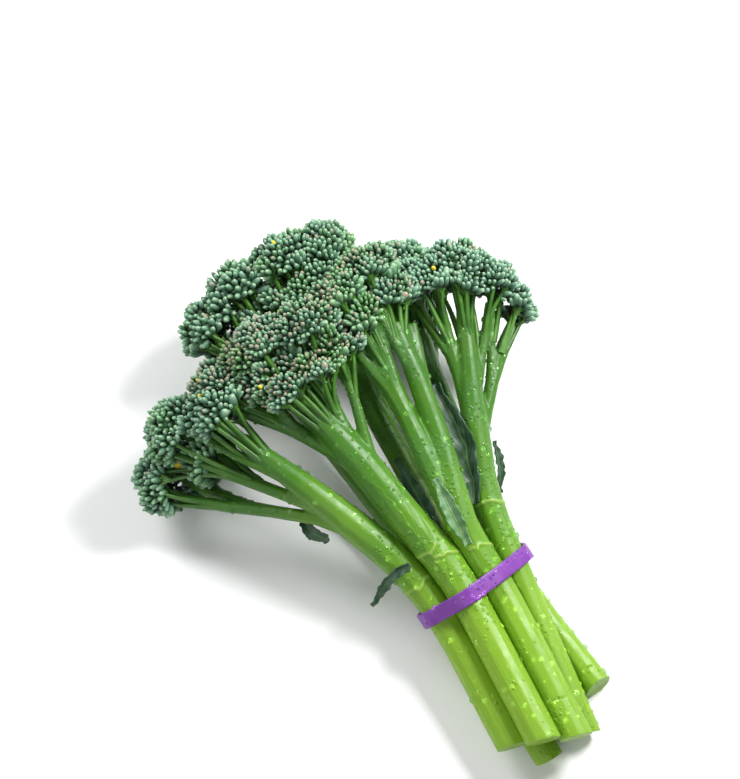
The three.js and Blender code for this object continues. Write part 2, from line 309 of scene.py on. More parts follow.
@dataclass(frozen=True)
class TwigFinish:
    """Skin of the fine branches under the buds."""

    young: Colour = shade(0.075, 0.22, 0.02)
    old: Colour = shade(0.032, 0.12, 0.012)

    def make(self) -> bpy.types.Material:
        """The twigs' material."""
        mix = Recipe("twig_skin")
        patch = mix.noise(160.0, 3.0)
        mix.set(
            Base_Color=mix.mix(mix.span(patch, 0.35, 0.65), self.old, self.young),
            Roughness=mix.span(patch, 0.3, 0.7, 0.32, 0.5),
            Subsurface_Weight=0.12,
            Subsurface_Radius=(0.4, 1.0, 0.2),
            Subsurface_Scale=0.001,
        )
        mix.bump(mix.noise(1500.0), 0.0001, 0.5)
        return mix.material


@dataclass(frozen=True)
class LeafFinish:
    """Dark leaf with a paler midrib and veins and a bluish bloom."""

    blade: Colour = shade(0.018, 0.062, 0.024)
    sheen: Colour = shade(0.11, 0.20, 0.14)
    rib: Colour = shade(0.16, 0.30, 0.09)

    def make(self) -> bpy.types.Material:
        """The leaves' material."""
        mix = Recipe("leaf_blade")
        along, across, _ = mix.attribute("leaf")
        rib = mix.span(across, 0.0, 0.14, 1.0, 0.0)
        slant = mix.calc("ADD", mix.calc("MULTIPLY", along, 9.0), mix.calc("MULTIPLY", across, -2.4))
        vein = mix.calc("PINGPONG", slant, 0.5)
        veins = mix.calc("MULTIPLY", mix.span(vein, 0.0, 0.09, 0.6, 0.0), mix.span(across, 1.0, 0.5))
        lines = mix.calc("MAXIMUM", rib, veins)
        patch = mix.noise(220.0, 4.0)
        blade = mix.mix(mix.span(patch, 0.4, 0.7, 0.0, 0.6), self.blade, self.sheen)
        mix.set(
            Base_Color=mix.mix(lines, blade, self.rib),
            Roughness=mix.span(patch, 0.3, 0.7, 0.36, 0.6),
            Subsurface_Weight=0.08,
            Subsurface_Radius=(0.3, 1.0, 0.2),
            Subsurface_Scale=0.0006,
        )
        mix.bump(mix.calc("ADD", lines, mix.calc("MULTIPLY", mix.noise(900.0, 3.0), 0.5)), 0.0003, 0.8)
        return mix.material


PALE_BRACT = {
    "blade": shade(0.10, 0.24, 0.07),
    "sheen": shade(0.22, 0.37, 0.24),
    "rib": shade(0.26, 0.42, 0.16),
}


@dataclass(frozen=True)
class BandFinish:
    """Purple rubber: satin, with soft paler clouds and fine beads of dew."""

    rubber: Colour = shade(0.175, 0.030, 0.30)
    pale: Colour = shade(0.24, 0.07, 0.40)

    def make(self) -> bpy.types.Material:
        """The band's material."""
        mix = Recipe("purple_rubber")
        cloud = mix.noise(180.0, 3.0)
        dew = mix.dew(560.0, cloud)
        mix.set(
            Base_Color=mix.mix(mix.span(cloud, 0.35, 0.7, 0.0, 0.6), self.rubber, self.pale),
            Roughness=mix.span(dew, 0.0, 1.0, 0.4, 0.12),
            Subsurface_Weight=0.08,
            Subsurface_Radius=(0.8, 0.3, 1.0),
            Subsurface_Scale=0.001,
        )
        mix.bump(mix.calc("ADD", dew, mix.calc("MULTIPLY", cloud, 0.3)), 0.0006, 1.0)
        return mix.material


@dataclass(frozen=True)
class WaterFinish:
    """Clear water that lets lamp light through to the skin below it, with a painted shade on each drop's low rim."""

    tint: Colour = shade(0.97, 1.0, 0.96)
    # Painted shade: darker green low on each drop, standing in for the dark edge that refraction gives.
    rim: Colour = shade(0.42, 0.58, 0.40)

    def make(self) -> bpy.types.Material:
        """The drops' material."""
        mix = Recipe("water_drop")
        height = mix.attribute("drop")[0]
        # Painted shade on each drop's low rim, clear tint towards its top.
        tint = mix.mix(mix.span(height, 0.5, 0.8), self.rim, self.tint)
        mix.set(Base_Color=tint, Roughness=0.03, IOR=1.33, Transmission_Weight=1.0)
        clear = mix.add("ShaderNodeBsdfTransparent")
        choice = mix.add("ShaderNodeMixShader")
        mix.feed(choice.inputs[0], mix.add("ShaderNodeLightPath").outputs["Is Shadow Ray"])
        mix.feed(choice.inputs[1], mix.surface.outputs[0])
        mix.feed(choice.inputs[2], clear.outputs[0])
        mix.feed(mix.output.inputs[0], choice.outputs[0])
        return mix.material


@dataclass(frozen=True)
class PaperFinish:
    """The plain pale surface that the bunch lies on."""

    tone: Colour = shade(0.94, 0.945, 0.94)

    def make(self) -> bpy.types.Material:
        """The paper's material."""
        mix = Recipe("pale_paper")
        soft = mix.mix(mix.span(mix.noise(3.0), 0.3, 0.7), self.tone, shade(0.95, 0.95, 0.945))
        mix.set(Base_Color=soft, Roughness=0.9, Specular_IOR_Level=0.1)
        return mix.material


# ---------------------------------------------------------------- shared mesh work


def link(name: str, mesh: bpy.types.Mesh) -> bpy.types.Object:
    """Puts a mesh into the scene as an object at the origin."""
    piece = bpy.data.objects.new(name, mesh)
    bpy.context.scene.collection.objects.link(piece)
    return piece


def merged(node: str) -> bpy.types.Mesh:
    """A copy of a CAD node's mesh with its corners joined.

    Args:
        node: The CAD node's name.

    Returns:
        A new mesh in the row frame.
    """
    work = bmesh.new()
    work.from_mesh(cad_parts[node].data)
    bmesh.ops.remove_doubles(work, verts=work.verts, dist=1e-6)
    mesh = bpy.data.meshes.new(f"{node}_merged")
    work.to_mesh(mesh)
    work.free()
    return mesh


def fine(source: bpy.types.Mesh, voxel: float, rounds: int) -> bpy.types.Mesh:
    """An even, smoothed version of a closed mesh.

    Args:
        source: The mesh to refine.
        voxel: The size of the even grid, in metres.
        rounds: How many times the surface is eased.

    Returns:
        A new mesh.
    """
    holder = link("refining", source)
    grid = holder.modifiers.new("grid", "REMESH")
    grid.mode = "VOXEL"
    grid.voxel_size = voxel
    ease = holder.modifiers.new("ease", "SMOOTH")
    ease.factor = 0.5
    ease.iterations = rounds
    mesh = bpy.data.meshes.new_from_object(holder.evaluated_get(bpy.context.evaluated_depsgraph_get()))
    bpy.data.objects.remove(holder)
    return mesh


def finish(piece: bpy.types.Object, slot: Slot, *looks: bpy.types.Material) -> bpy.types.Object:
    """Dresses a piece, ties it to the bunch and smooths its shading.

    Args:
        piece: The object to finish.
        slot: The record's slot for the piece; not used.
        looks: Its materials, in slot order.

    Returns:
        The same object.
    """
    for look in looks:
        piece.data.materials.append(look)
    piece.data.polygons.foreach_set("use_smooth", [True] * len(piece.data.polygons))
    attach(piece, "root")
    return piece


def corners(mesh: bpy.types.Mesh) -> np.ndarray:
    """A mesh's vertices as rows of three numbers."""
    flat = np.empty(len(mesh.vertices) * 3)
    mesh.vertices.foreach_get("co", flat)
    return flat.reshape(-1, 3)


def store(mesh: bpy.types.Mesh, name: str, values: np.ndarray) -> None:
    """Keeps four numbers per vertex as a colour attribute."""
    layer = mesh.attributes.new(name, "FLOAT_COLOR", "POINT")
    layer.data.foreach_set("color", values.astype(np.float32).ravel())


def search_tree(mesh: bpy.types.Mesh) -> BVHTree:
    """A tree for finding near points and hits on a mesh."""
    work = bmesh.new()
    work.from_mesh(mesh)
    tree = BVHTree.FromBMesh(work)
    work.free()
    return tree


def unit(vector: Vector) -> Vector:
    """The vector at length one."""
    return vector.normalized()


@dataclass
class Scatter:
    """Evenly spaced random points on a mesh, with the surface direction at each."""

    mesh: bpy.types.Mesh
    seed: int
    spots: list[tuple[Vector, Vector]] = field(default_factory=list)

    def throw(self, count: int) -> None:
        """Throws random points on the surface, as many per area everywhere.

        Args:
            count: How many points to throw.
        """
        rng = np.random.default_rng(self.seed)
        self.mesh.calc_loop_triangles()
        faces = np.empty(len(self.mesh.loop_triangles) * 3, np.int64)
        self.mesh.loop_triangles.foreach_get("vertices", faces)
        faces = faces.reshape(-1, 3)
        places = corners(self.mesh)
        looks = np.empty(len(self.mesh.vertices) * 3)
        self.mesh.vertices.foreach_get("normal", looks)
        looks = looks.reshape(-1, 3)
        a, b, c = places[faces[:, 0]], places[faces[:, 1]], places[faces[:, 2]]
        area = np.linalg.norm(np.cross(b - a, c - a), axis=1)
        chosen = rng.choice(len(faces), count, p=area / area.sum())
        share = np.sqrt(rng.random(count))[:, None]
        turn = rng.random(count)[:, None]
        weights = np.hstack((1 - share, share * (1 - turn), share * turn))[:, :, None]
        spots = (places[faces[chosen]] * weights).sum(axis=1)
        sides = (looks[faces[chosen]] * weights).sum(axis=1)
        self.spots = [(Vector(p), unit(Vector(n))) for p, n in zip(spots, sides, strict=True)]

    def thin(self, spacing: float) -> list[tuple[Vector, Vector]]:
        """The thrown points, less those closer than spacing to an earlier one."""
        kept: list[tuple[Vector, Vector]] = []
        cells: dict[tuple[int, int, int], list[Vector]] = {}
        steps = [(i, j, k) for i in (-1, 0, 1) for j in (-1, 0, 1) for k in (-1, 0, 1)]
        for spot, side in self.spots:
            home = tuple(int(math.floor(v / spacing)) for v in spot)
            near = (
                other
                for step in steps
                for other in cells.get((home[0] + step[0], home[1] + step[1], home[2] + step[2]), ())
            )
            if all((other - spot).length >= spacing for other in near):
                cells.setdefault(home, []).append(spot)
                kept.append((spot, side))
        return kept


@dataclass
class Strands:
    """Many tapered round strands gathered into one mesh."""

    name: str
    sides: int = 0
    rows: list[list[tuple[Vector, float]]] = field(default_factory=list)

    def bow(self, start: Vector, bend: Vector, end: Vector, thick: float, thin: float, steps: int) -> None:
        """Adds one strand bowed from start past bend to end.

        Args:
            start: Its first point.
            bend: The point it leans towards.
            end: Its last point.
            thick: Its radius at the start.
            thin: Its radius at the end.
            steps: How many lengths it is made of.
        """
        row = []
        for i in range(steps + 1):
            t = i / steps
            spot = start * (1 - t) ** 2 + bend * (2 * t * (1 - t)) + end * t**2
            row.append((spot, thick + (thin - thick) * t))
        self.rows.append(row)

    def build(self) -> bpy.types.Object:
        """All strands as one mesh object."""
        curve = bpy.data.curves.new(self.name, "CURVE")
        curve.dimensions = "3D"
        curve.bevel_depth = 1.0
        curve.bevel_resolution = self.sides
        curve.use_fill_caps = True
        for row in self.rows:
            spline = curve.splines.new("POLY")
            spline.points.add(len(row) - 1)
            spline.points.foreach_set("co", [v for spot, _ in row for v in (*spot, 1.0)])
            spline.points.foreach_set("radius", [radius for _, radius in row])
        holder = bpy.data.objects.new(self.name, curve)
        bpy.context.scene.collection.objects.link(holder)
        mesh = bpy.data.meshes.new_from_object(holder.evaluated_get(bpy.context.evaluated_depsgraph_get()))
        bpy.data.objects.remove(holder)
        return link(self.name, mesh)


@dataclass
class Copies:
    """Copies of one small shape, each placed and marked, gathered into one mesh."""

    shape: bpy.types.Mesh
    marks: str

    def __post_init__(self) -> None:
        """Opens the mesh that gathers the copies."""
        self.work = bmesh.new()
        self.heights = corners(self.shape)[:, 2].copy()
        self.heights = (self.heights - self.heights.min()) / np.ptp(self.heights)
        self.layer = self.shape.attributes.new(self.marks, "FLOAT_COLOR", "POINT")

    def add(self, placement: Matrix, mark: tuple[float, float] = (0.0, 0.0)) -> None:
        """Adds one copy.

        Args:
            placement: Where it goes, and at what size.
            mark: Two numbers kept on all its corners, beside the height along the shape.
        """
        values = np.empty((len(self.heights), 4), np.float32)
        values[:, 0] = self.heights
        values[:, 1:3] = mark[:2]
        values[:, 3] = 1.0
        copy = self.shape.copy()
        copy.attributes[self.marks].data.foreach_set("color", values.ravel())
        copy.transform(placement)
        self.work.from_mesh(copy)
        bpy.data.meshes.remove(copy)

    def build(self, name: str) -> bpy.types.Object:
        """All copies as one mesh object."""
        mesh = bpy.data.meshes.new(name)
        self.work.to_mesh(mesh)
        self.work.free()
        return link(name, mesh)


# ---------------------------------------------------------------- stalks


@dataclass(frozen=True)
class Scar:
    """A mark across a stalk: the ridge where a leaf grew, or a nick when the height is negative."""

    way: float
    turn: float = -0.25
    height: float = 0.4 * MM
    width: float = 0.7 * MM
    reach: float = 0.9
    slope: float = 4.0 * MM
    swelling: float = 0.15 * MM


SCARS = {
    "stalk_left_low": (Scar(69 * MM, -0.5),),
    "stalk_middle_top": (Scar(78 * MM, 0.0, 0.4 * MM), Scar(82 * MM, -0.7, 0.25 * MM)),
    "stalk_middle_right": (
        Scar(80 * MM, 0.2, 0.4 * MM),
        Scar(15 * MM, -0.1, -0.45 * MM, 0.28 * MM, 0.7, 0.6 * MM, 0.0),
    ),
    "stalk_right_top": (Scar(97 * MM, -0.2),),
    "stalk_left_under": (Scar(90 * MM),),
    "stalk_centre_under": (Scar(70 * MM),),
    "stalk_right_low": (Scar(74 * MM, 0.6),),
}


@dataclass
class Stalk:
    """One stalk with its branches, its cut end and the grain that follows its growth."""

    node: str
    skin: bpy.types.Material
    pith: bpy.types.Material
    scars: tuple[Scar, ...] = ()
    grid: float = 0.5 * MM
    easing: int = 12
    trim: float = 0.7 * MM
    rings: tuple[tuple[float, float], ...] = ((0.92, 0.1 * MM), (0.8, 0.05 * MM), (0.6, -0.05 * MM), (0.5, 0.0))
    reach: float = 200 * MM

    def build(self) -> bpy.types.Object:
        """The dressed stalk that stands for its CAD node."""
        rough = merged(self.node)
        spot, facing = self.cut_plane(rough)
        mesh = fine(rough, self.grid, self.easing)
        self.cut(mesh, spot, facing)
        self.grow(mesh, spot, facing)
        piece = finish(link(self.node.replace("stalk", "stem"), mesh), Slot.STEM, self.skin, self.pith)
        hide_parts(self.node)
        return piece

    def cut_plane(self, rough: bpy.types.Mesh) -> tuple[Vector, Vector]:
        """The middle and the outward direction of the cut end.

        Args:
            rough: The CAD node's merged mesh.

        Returns:
            A point just inside the end, and the end's direction.
        """
        low = min(v.co.y for v in rough.vertices)
        ends = [f for f in rough.polygons if f.center.y < low + 6 * MM and f.normal.y < -0.8]
        area = sum(f.area for f in ends)
        spot = sum((f.center * f.area for f in ends), Vector()) / area
        facing = unit(sum((f.normal * f.area for f in ends), Vector()))
        return spot - facing * self.trim, facing

    def cut(self, mesh: bpy.types.Mesh, spot: Vector, facing: Vector) -> None:
        """Slices the end off clean and gives it a rind and a pith.

        Args:
            mesh: The smoothed stalk.
            spot: The cut's middle.
            facing: The cut's outward direction.
        """
        work = bmesh.new()
        work.from_mesh(mesh)
        everything = work.verts[:] + work.edges[:] + work.faces[:]
        sliced = bmesh.ops.bisect_plane(
            work, geom=everything, dist=1e-6, plane_co=spot, plane_no=facing, clear_outer=True
        )
        rim = [e for e in sliced["geom_cut"] if isinstance(e, bmesh.types.BMEdge)]
        cap = bmesh.ops.edgeloop_fill(work, edges=rim)["faces"]
        for edge in rim:
            edge.smooth = False
        for share, sink in self.rings:
            grown = bmesh.ops.extrude_face_region(work, geom=cap)["geom"]
            cap = [part for part in grown if isinstance(part, bmesh.types.BMFace)]
            for vert in {v for face in cap for v in face.verts}:
                vert.co = spot + (vert.co - spot) * share - facing * sink
            for face in {f for c in cap for edge in c.edges for f in edge.link_faces}:
                face.material_index = 1
        for face in bmesh.ops.poke(work, faces=cap)["faces"]:
            face.material_index = 1
        bmesh.ops.recalc_face_normals(work, faces=work.faces[:])
        work.to_mesh(mesh)
        work.free()

    def grow(self, mesh: bpy.types.Mesh, spot: Vector, facing: Vector) -> None:
        """Marks every corner with its way from the cut end and its lane around the stalk.

        Args:
            mesh: The cut stalk.
            spot: The cut's middle.
            facing: The cut's outward direction.
        """
        places = corners(mesh)
        edges = np.empty(len(mesh.edges) * 2, np.int64)
        mesh.edges.foreach_get("vertices", edges)
        edges = edges.reshape(-1, 2)
        lengths = np.linalg.norm(places[edges[:, 0]] - places[edges[:, 1]], axis=1)
        near: list[list[tuple[int, float]]] = [[] for _ in places]
        for (a, b), length in zip(edges.tolist(), lengths.tolist(), strict=True):
            near[a].append((b, length))
            near[b].append((a, length))
        behind = (np.array(spot) - places) @ np.array(facing)
        way = np.full(len(places), np.inf)
        lane = np.zeros((len(places), 2))
        queue = []
        for i in np.nonzero(behind < 0.9 * MM)[0].tolist():
            way[i] = max(behind[i], 0.0)
            lane[i] = places[i, 0] - spot.x, places[i, 2] - spot.z
            queue.append((way[i], i))
        heapq.heapify(queue)
        while queue:
            done, i = heapq.heappop(queue)
            if done > way[i]:
                continue
            for j, step in near[i]:
                if done + step < way[j]:
                    way[j] = done + step
                    lane[j] = lane[i]
                    heapq.heappush(queue, (way[j], j))
        for _ in range(6):
            lane = self.even_out(lane, edges)
        values = np.ones((len(places), 4))
        values[:, 0] = way / self.reach
        values[:, 1:3] = lane / (6 * MM)
        store(mesh, "scar", self.scar(mesh, places, way, lane))
        self.mark_pith(mesh, spot, values)
        store(mesh, "growth", values)

    def scar(self, mesh: bpy.types.Mesh, places: np.ndarray, way: np.ndarray, lane: np.ndarray) -> np.ndarray:
        """Raises the leaf scars and sinks the nicks.

        Args:
            mesh: The stalk.
            places: Its corners.
            way: Each corner's way from the cut end.
            lane: Each corner's lane around the stalk.

        Returns:
            How pale each corner is, and how dark.
        """
        looks = np.empty(len(places) * 3)
        mesh.vertices.foreach_get("normal", looks)
        turn = np.arctan2(lane[:, 0], lane[:, 1])
        marks = np.ones((len(places), 4))
        marks[:, :3] = 0
        lift = np.zeros(len(places))
        for one in self.scars:
            swing = (turn - one.turn + math.pi) % math.tau - math.pi
            gap = way - one.way - one.slope * np.abs(swing) ** 1.5
            near = np.clip((one.reach - np.abs(swing)) * 2, 0, 1)
            ridge = np.exp(-((gap / one.width) ** 2)) * near
            lift += one.height * ridge + one.swelling * near * np.exp(-((gap / (4 * MM)) ** 2))
            marks[:, 0 if one.height > 0 else 1] += ridge
        places = places + looks.reshape(-1, 3) * lift[:, None]
        mesh.vertices.foreach_set("co", places.ravel())
        return marks

    def even_out(self, values: np.ndarray, edges: np.ndarray) -> np.ndarray:
        """Averages values with their neighbours'."""
        total = values.copy()
        count = np.ones((len(values), 1))
        for a, b in ((0, 1), (1, 0)):
            np.add.at(total, edges[:, a], values[edges[:, b]])
            np.add.at(count, edges[:, a], 1)
        return total / count

    def mark_pith(self, mesh: bpy.types.Mesh, spot: Vector, values: np.ndarray) -> None:
        """Marks the cut face's corners with how far they lie inside its rim."""
        inner = {i for f in mesh.polygons if f.material_index == 1 for i in f.vertices}
        outer = {i for f in mesh.polygons if f.material_index == 0 for i in f.vertices}
        places = corners(mesh)
        middle = np.array(spot)
        radius = max(np.linalg.norm(places[i] - middle) for i in inner)
        for i in inner - outer:
            values[i, 0] = 1 - np.linalg.norm(places[i] - middle) / radius


# ---------------------------------------------------------------- heads


@dataclass
class BudShape:
    """One closed flower bud: an oval with four sepals pressed together."""

    width: float = 1.85 * MM
    length: float = 3.3 * MM
    sides: int = 8
    rings: int = 5
    groove: float = 0.12

    def build(self) -> bpy.types.Mesh:
        """The bud, its base at the origin and its tip along +Z."""
        work = bmesh.new()
        bmesh.ops.create_uvsphere(work, u_segments=self.sides, v_segments=self.rings, radius=1.0)
        for vert in work.verts:
            height = (vert.co.z + 1) / 2
            angle = math.atan2(vert.co.y, vert.co.x)
            belly = max(0.0, math.sin(math.pi * height)) ** 0.42 * (1.04 - 0.12 * height)
            fold = 1 - self.groove * (0.5 - 0.5 * math.cos(4 * angle))
            flat = Vector((math.cos(angle), math.sin(angle), 0)) * belly * fold * self.width / 2
            vert.co = Vector((flat.x, flat.y, height * self.length))
        mesh = bpy.data.meshes.new("bud_shape")
        work.to_mesh(mesh)
        work.free()
        return mesh


@dataclass(frozen=True)
class HeadStyle:
    """How one head's buds differ from the others'."""

    size: float = 1.0
    bloom: float = 0.5
    fresh: float = 0.3
    blush: float = 0.1
    lone: float = 0.03


STYLES = {
    "left_low": HeadStyle(1.1, 0.55, 0.35, 0.04, 0.05),
    "middle_top": HeadStyle(0.98, 0.35, 0.5, 0.45, 0.05),
    "middle_right": HeadStyle(1.0, 0.4, 0.55, 0.3, 0.16),
    "right_top": HeadStyle(1.0, 0.85, 0.2, 0.03, 0.06),
    "right_low": HeadStyle(1.1, 0.5, 0.4, 0.1, 0.05),
    "left_under": HeadStyle(1.25, 0.45, 0.15, 0.05, 0.03),
    "centre_under": HeadStyle(1.1, 0.45, 0.45, 0.08, 0.03),
}


@dataclass
class Head:
    """One head: clusters of buds on fine twigs that spring from the stalk's branches."""

    name: str
    seed: int
    style: HeadStyle
    bud: bpy.types.Mesh
    bud_look: bpy.types.Material
    twig_look: bpy.types.Material
    others: list[BVHTree]
    stalks: list[BVHTree]
    spacing: float = 1.6 * MM
    cluster: float = 8.0 * MM
    dome: float = 1.7 * MM
    layer: float = 2.8 * MM
    hub_depth: float = 6.5 * MM
    open_side: float = -0.5

    def build(self) -> tuple[bpy.types.Object, bpy.types.Object]:
        """The buds and the twigs under them.

        Returns:
            The bud piece, which stands for the CAD head, and the twig piece.
        """
        self.rng = np.random.default_rng(self.seed)
        stalk, surface = merged(f"stalk_{self.name}"), fine(merged(f"head_{self.name}"), 1.0 * MM, 8)
        self.own = search_tree(stalk)
        self.neck = self.find_neck(surface, stalk)
        scatter = Scatter(surface, self.seed)
        scatter.throw(26000)
        shown = [(p, n) for p, n in scatter.spots if self.is_outside(p, n)]
        scatter.spots = shown
        sites = scatter.thin(self.spacing * self.style.size)
        scatter.spots = [(p, n) for p, n in shown if n.dot(unit(p - self.neck)) > -0.25]
        seeds = scatter.thin(self.cluster)
        tree = KDTree(len(seeds))
        for index, (spot, _) in enumerate(seeds):
            tree.insert(spot, index)
        tree.balance()
        self.buds = Copies(self.bud.copy(), "bud")
        self.twigs = Strands(f"twigs_{self.name}")
        hubs = [self.hub(spot, side) for spot, side in seeds]
        tones = self.rng.random(len(seeds)) * (0.5 + self.style.fresh)
        for hub, way in hubs:
            self.branch_to(hub, way)
        scatter.spots = shown[::-1]
        deeper = [(spot - side * self.layer, side) for spot, side in scatter.thin(self.spacing * 1.45)]
        for spot, side in sites + deeper:
            _, index, far = tree.find(spot)
            self.place_bud(spot, side, far, *hubs[index], tones[index])
        shown_buds = finish(self.buds.build(f"buds_{self.name}"), Slot.BUD, self.bud_look)
        shown_twigs = finish(self.twigs.build(), Slot.STEM, self.twig_look)
        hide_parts(f"head_{self.name}")
        LOG.info("head %s: %d clusters, %d buds", self.name, len(seeds), len(sites) + len(deeper))
        return shown_buds, shown_twigs

    def find_neck(self, surface: bpy.types.Mesh, stalk: bpy.types.Mesh) -> Vector:
        """The place on the stalk where the head's branches part."""
        places = corners(stalk)
        gap = np.linalg.norm(places - corners(surface).mean(axis=0), axis=1)
        return Vector(places[(gap > 44 * MM) & (gap < 60 * MM)].mean(axis=0))

    def is_outside(self, spot: Vector, side: Vector) -> bool:
        """Whether buds can grow at a spot: on the outer side, with nothing pressed against it."""
        if side.dot(unit(spot - self.neck)) < self.open_side:
            return False
        start = spot + side * 0.05 * MM
        for tree in self.stalks:
            if tree.ray_cast(start, side, 3 * MM)[0] is not None:
                return False
        return all(tree.ray_cast(start, side, 1.2 * MM)[0] is None for tree in self.others)

    def hub(self, spot: Vector, side: Vector) -> tuple[Vector, Vector]:
        """A cluster's hub below its crown, and the way it grows.

        Args:
            spot: The cluster's place on the head's surface.
            side: The surface's direction there.

        Returns:
            The hub's place and its direction.
        """
        way = unit(side * 0.55 + unit(spot - self.neck) * 0.8)
        return spot - way * self.hub_depth, way

    def branch_to(self, hub: Vector, way: Vector) -> None:
        """Grows a twig to a hub from further down the stalk, leaving it at a narrow angle."""
        back = self.neck - hub
        skin, outward = self.own.find_nearest(hub + back * self.rng.uniform(0.3, 0.55))[:2]
        start = skin - outward * 1.3 * MM
        gap = (hub - start).length
        lean = start + unit(start - self.neck) * gap * 0.45 + (hub - start) * 0.12
        self.twigs.bow(start, lean, hub + way * 0.5 * MM, 1.35 * MM, 0.8 * MM, 6)

    def place_bud(self, spot: Vector, side: Vector, far: float, hub: Vector, way: Vector, tone: float) -> None:
        """Adds one bud and, near the head's rim, the fine stalk that carries it.

        Args:
            spot: The bud's place on the head's surface.
            side: The surface's direction there.
            far: How far it lies from its cluster's middle.
            hub: The cluster's hub.
            way: The cluster's direction.
            tone: The cluster's share of fresh green.
        """
        rng, style = self.rng, self.style
        rim = min(1.0, max(0.0, (0.5 - side.dot(unit(spot - self.neck))) / 0.8))
        lone = rim > 0.35 and rng.random() < style.lone
        size = style.size * rng.uniform(0.82, 1.14) * (1 + 0.25 * rim) * (1.6 if lone else 1.0)
        tall = size * rng.uniform(0.88, 1.12) * (1 + 0.3 * rim)
        aim = unit(unit(spot - hub) * 0.9 + side * 0.4 + Vector(rng.normal(0, 0.12, 3)))
        lift = max(self.dome * (1 - (far / (4.4 * MM)) ** 2), -2.0 * MM) + rng.normal(0, 0.2 * MM)
        base = spot + way * lift - aim * 2.4 * MM * tall
        turn = aim.to_track_quat("Z", "Y").to_matrix().to_4x4()
        spin = Matrix.Rotation(rng.uniform(0, math.tau), 4, "Z")
        own = 2.0 if rng.random() < style.blush and rim < 0.6 else (rng.random() + style.bloom) / 1.5
        own = 3.0 if rng.random() < 0.0025 else own
        self.buds.add(Matrix.Translation(base) @ turn @ spin @ Matrix.Diagonal((size, size, tall, 1.0)), (own, tone))
        if lone or rim > 0.2 or rng.random() < 0.1:
            thick = (0.75 if lone else 0.4) * MM
            self.twigs.bow(hub - way * 1.5 * MM, hub + way * 2.5 * MM, base + aim * 0.4 * MM, thick * 1.2, thick, 2)


# ---------------------------------------------------------------- leaves, band and water


@dataclass
class Leaf:
    """One small leaf blade with a midrib, a wavy edge and some curl."""

    node: str
    seed: int
    look: bpy.types.Material
    columns: int = 60
    rows: int = 14
    slices: int = 12
    sample: int = 16
    thickness: float = 0.45 * MM

    def build(self) -> bpy.types.Object:
        """The blade that stands for its CAD node."""
        places = corners(merged(self.node))
        middle = places.mean(axis=0)
        _, _, axes = np.linalg.svd(places - middle, full_matrices=False)
        along = (places - middle) @ axes[0]
        if (axes[0][1] < 0) != (self.node == "leaf_hanging"):
            along = -along
            axes[0] = -axes[0]
        rng = np.random.default_rng(self.seed)
        stations = np.linspace(along.min(), along.max(), self.slices)
        spine, wide = [], []
        for station in stations:
            chosen = places[np.argsort(np.abs(along - station))[: self.sample]]
            centre = chosen.mean(axis=0)
            spine.append(centre + axes[0] * (station - (centre - middle) @ axes[0]))
            wide.append(np.ptp((chosen - middle) @ axes[1]) / 2)
        spots = np.linspace(along.min(), along.max(), self.columns + 1)
        spine = np.array(spine)
        line = np.stack([np.interp(spots, stations, spine[:, i]) for i in range(3)], axis=1)
        width = np.interp(spots, stations, np.array(wide))
        across, up = axes[1], axes[2] * (1 if axes[2][2] > 0 else -1)
        work = bmesh.new()
        bmesh.ops.create_grid(work, x_segments=self.columns, y_segments=self.rows, size=1.0)
        marks = {}
        phase = rng.uniform(0, math.tau, 4)
        for vert in work.verts:
            u, v = (vert.co.x + 1) / 2, vert.co.y
            step = min(self.columns, round(u * self.columns))
            edge = math.sin(u * 31 + phase[0] + 2 * v) + 0.7 * math.sin(u * 57 + phase[1] - 3 * v)
            side = across * width[step] * v * (1 + 0.07 * edge * abs(v) ** 3)
            wave = (math.sin(u * 17 + phase[2] + 2.5 * v) + math.sin(u * 39 + phase[3])) * 0.3 * MM * abs(v) ** 2.5
            fold = (1.1 * abs(v) ** 1.4 - 0.4) * width[step] * 0.5
            vert.co = Vector(line[step] + side + up * (fold + wave))
            marks[vert.index] = (u, abs(v), 0.0, 1.0)
        values = np.array([marks[i] for i in range(len(work.verts))])
        mesh = bpy.data.meshes.new(self.node)
        work.to_mesh(mesh)
        work.free()
        store(mesh, "leaf", values)
        piece = link(self.node.replace("leaf", "blade"), mesh)
        wall = piece.modifiers.new("wall", "SOLIDIFY")
        wall.thickness = self.thickness
        wall.offset = 0.0
        finish(piece, Slot.LEAF, self.look)
        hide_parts(self.node)
        return piece


@dataclass
class Band:
    """The rubber band with rounded edges."""

    look: bpy.types.Material

    def build(self) -> bpy.types.Object:
        """The band that stands for its CAD node."""
        mesh = fine(merged("rubber_band"), 0.3 * MM, 4)
        piece = finish(link("purple_band", mesh), Slot.BAND, self.look)
        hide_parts("rubber_band")
        return piece


